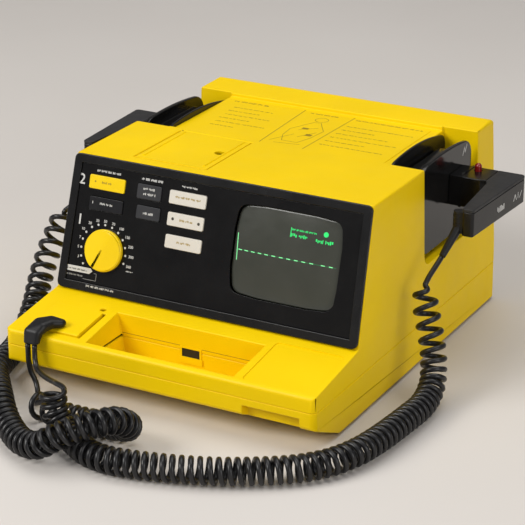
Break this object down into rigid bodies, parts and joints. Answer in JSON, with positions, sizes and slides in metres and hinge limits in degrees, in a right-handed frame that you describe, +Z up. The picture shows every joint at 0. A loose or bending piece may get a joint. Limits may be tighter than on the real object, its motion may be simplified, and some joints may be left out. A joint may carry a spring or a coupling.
{
  "type": "defibrillator",
  "caption": "Portable monitor and defibrillator with a tilted control panel and screen, a chart recorder under a top door, paddles in side pockets and coiled cords.",
  "frame": {"origin": "centre of the footprint of the case and paddles, on the surface that the feet stand on", "axes": "+X to the right as seen from the front, +Y from the front panel to the back, +Z up"},
  "size_m": [0.3986, 0.489, 0.1742],
  "materials": {
    "case_yellow": "fine satin grain",
    "bezel_black": "satin",
    "panel_gloss": "gloss",
    "screen_glass": "smooth",
    "copper_winding": "enamelled wire",
    "circuit_board": "solder mask",
    "bare_metal": "plated",
    "electrode_steel": "polished",
    "knob_yellow": "satin",
    "key_yellow": "satin",
    "key_dark": "satin",
    "key_grey": "satin",
    "key_white": "satin",
    "chart_paper": "paper",
    "label_print": "printed film",
    "moulded_black": "fine grain",
    "paddle_black": "gloss",
    "cap_black": "satin",
    "button_red": "gloss",
    "cord_black": "smooth jacket",
    "foot_rubber": "matte",
    "capacitor_blue": "sleeve"
  },
  "bodies": {
    "case": {"lower_case": "case_yellow", "upper_case": "case_yellow", "front_bezel": "bezel_black", "control_panel": "panel_gloss", "crt_window": "screen_glass", "crt_tube": "screen_glass", "crt_yoke": "copper_winding", "key_board": "circuit_board", "rotary_switch": "bare_metal", "door_hinge_pin": "bare_metal", "recorder_frame": "moulded_black", "recorder_motor": "bare_metal", "print_head": "bare_metal", "instruction_label": "label_print", "apex_holder": "moulded_black", "sternum_holder": "moulded_black", "test_contacts": "electrode_steel", "main_board": "circuit_board", "hv_capacitor": "capacitor_blue", "power_supply": "bare_metal", "chassis": "bare_metal", "battery_bay": "moulded_black", "power_inlet": "moulded_black", "speaker": "moulded_black", "rubber_feet": "foot_rubber", "case_screws": "bare_metal", "paddle_socket": "moulded_black", "apex_tail": "cord_black", "sternum_tail": "cord_black", "apex_coil": "cord_black", "sternum_coil": "cord_black", "apex_lead": "cord_black", "sternum_lead": "cord_black"},
    "knob": {"energy_knob": "knob_yellow", "switch_shaft": "bare_metal"},
    "door": {"recorder_door": "case_yellow"},
    "paper": {"paper_roll": "chart_paper"},
    "roller": {"drive_roller": "foot_rubber"},
    "battery": {"battery_pack": "moulded_black"},
    "plug": {"paddle_plug": "case_yellow", "plug_boot": "cord_black"},
    "charge_key_cap": {"charge_key": "key_yellow"},
    "disarm_key_cap": {"disarm_key": "key_dark"},
    "sync_key_cap": {"sync_key": "key_grey"},
    "alarm_key_cap": {"alarm_key": "key_grey"},
    "lead_key_cap": {"lead_key": "key_white"},
    "size_key_cap": {"size_key": "key_white"},
    "record_key_cap": {"record_key": "key_white"},
    "apex_paddle": {"apex_base": "paddle_black", "apex_electrode": "electrode_steel", "apex_handle": "paddle_black", "apex_handle_cap": "cap_black", "apex_strain_relief": "cord_black"},
    "apex_button": {"apex_shock_button": "button_red"},
    "sternum_paddle": {"sternum_base": "paddle_black", "sternum_electrode": "electrode_steel", "sternum_handle": "paddle_black", "sternum_handle_cap": "cap_black", "sternum_strain_relief": "cord_black"},
    "sternum_button": {"sternum_shock_button": "button_red"}
  },
  "joints": [
    {"name": "knob_turn", "type": "hinge", "parent": "case", "child": "knob", "pos_m": [-0.1005, -0.09598, 0.09744], "axis": [0, -0.9598, 0.2807], "range_deg": [-270, 0]},
    {"name": "charge_key_press", "type": "slide", "parent": "case", "child": "charge_key_cap", "axis": [0, 0.9598, -0.2807], "range_m": [0, 0.0012], "stiffness_N_per_m": 400, "springref_m": -0.001},
    {"name": "disarm_key_press", "type": "slide", "parent": "case", "child": "disarm_key_cap", "axis": [0, 0.9598, -0.2807], "range_m": [0, 0.0012], "stiffness_N_per_m": 400, "springref_m": -0.001},
    {"name": "sync_key_press", "type": "slide", "parent": "case", "child": "sync_key_cap", "axis": [0, 0.9598, -0.2807], "range_m": [0, 0.0012], "stiffness_N_per_m": 400, "springref_m": -0.001},
    {"name": "alarm_key_press", "type": "slide", "parent": "case", "child": "alarm_key_cap", "axis": [0, 0.9598, -0.2807], "range_m": [0, 0.0012], "stiffness_N_per_m": 400, "springref_m": -0.001},
    {"name": "lead_key_press", "type": "slide", "parent": "case", "child": "lead_key_cap", "axis": [0, 0.9598, -0.2807], "range_m": [0, 0.0012], "stiffness_N_per_m": 400, "springref_m": -0.001},
    {"name": "size_key_press", "type": "slide", "parent": "case", "child": "size_key_cap", "axis": [0, 0.9598, -0.2807], "range_m": [0, 0.0012], "stiffness_N_per_m": 400, "springref_m": -0.001},
    {"name": "record_key_press", "type": "slide", "parent": "case", "child": "record_key_cap", "axis": [0, 0.9598, -0.2807], "range_m": [0, 0.0012], "stiffness_N_per_m": 400, "springref_m": -0.001},
    {"name": "door_open", "type": "hinge", "parent": "case", "child": "door", "pos_m": [-0.0903, 0, 0.1712], "axis": [0, -1, 0], "range_deg": [0, 100]},
    {"name": "paper_spin", "type": "hinge", "parent": "case", "child": "paper", "pos_m": [-0.056, -0.005, 0.146], "axis": [1, 0, 0], "continuous": true},
    {"name": "roller_spin", "type": "hinge", "parent": "case", "child": "roller", "pos_m": [-0.056, -0.044, 0.158], "axis": [1, 0, 0], "continuous": true},
    {"name": "battery_slide", "type": "slide", "parent": "case", "child": "battery", "axis": [0, 1, 0], "range_m": [0, 0.1]},
    {"name": "plug_pull", "type": "slide", "parent": "case", "child": "plug", "axis": [0, 0, 1], "range_m": [0, 0.012]},
    {"name": "apex_lift", "type": "slide", "parent": "case", "child": "apex_paddle", "axis": [0, 0, 1], "range_m": [0, 0.09]},
    {"name": "apex_button_press", "type": "slide", "parent": "apex_paddle", "child": "apex_button", "axis": [0, 0, -1], "range_m": [0, 0.0025], "stiffness_N_per_m": 600, "springref_m": -0.0015},
    {"name": "sternum_lift", "type": "slide", "parent": "case", "child": "sternum_paddle", "axis": [0, 0, 1], "range_m": [0, 0.09]},
    {"name": "sternum_button_press", "type": "slide", "parent": "sternum_paddle", "child": "sternum_button", "axis": [0, 0, -1], "range_m": [0, 0.0025], "stiffness_N_per_m": 600, "springref_m": -0.0015}
  ],
  "couplings": [
    {"joint": "roller_spin", "follows": "paper_spin", "ratio": 3.04}
  ]
}
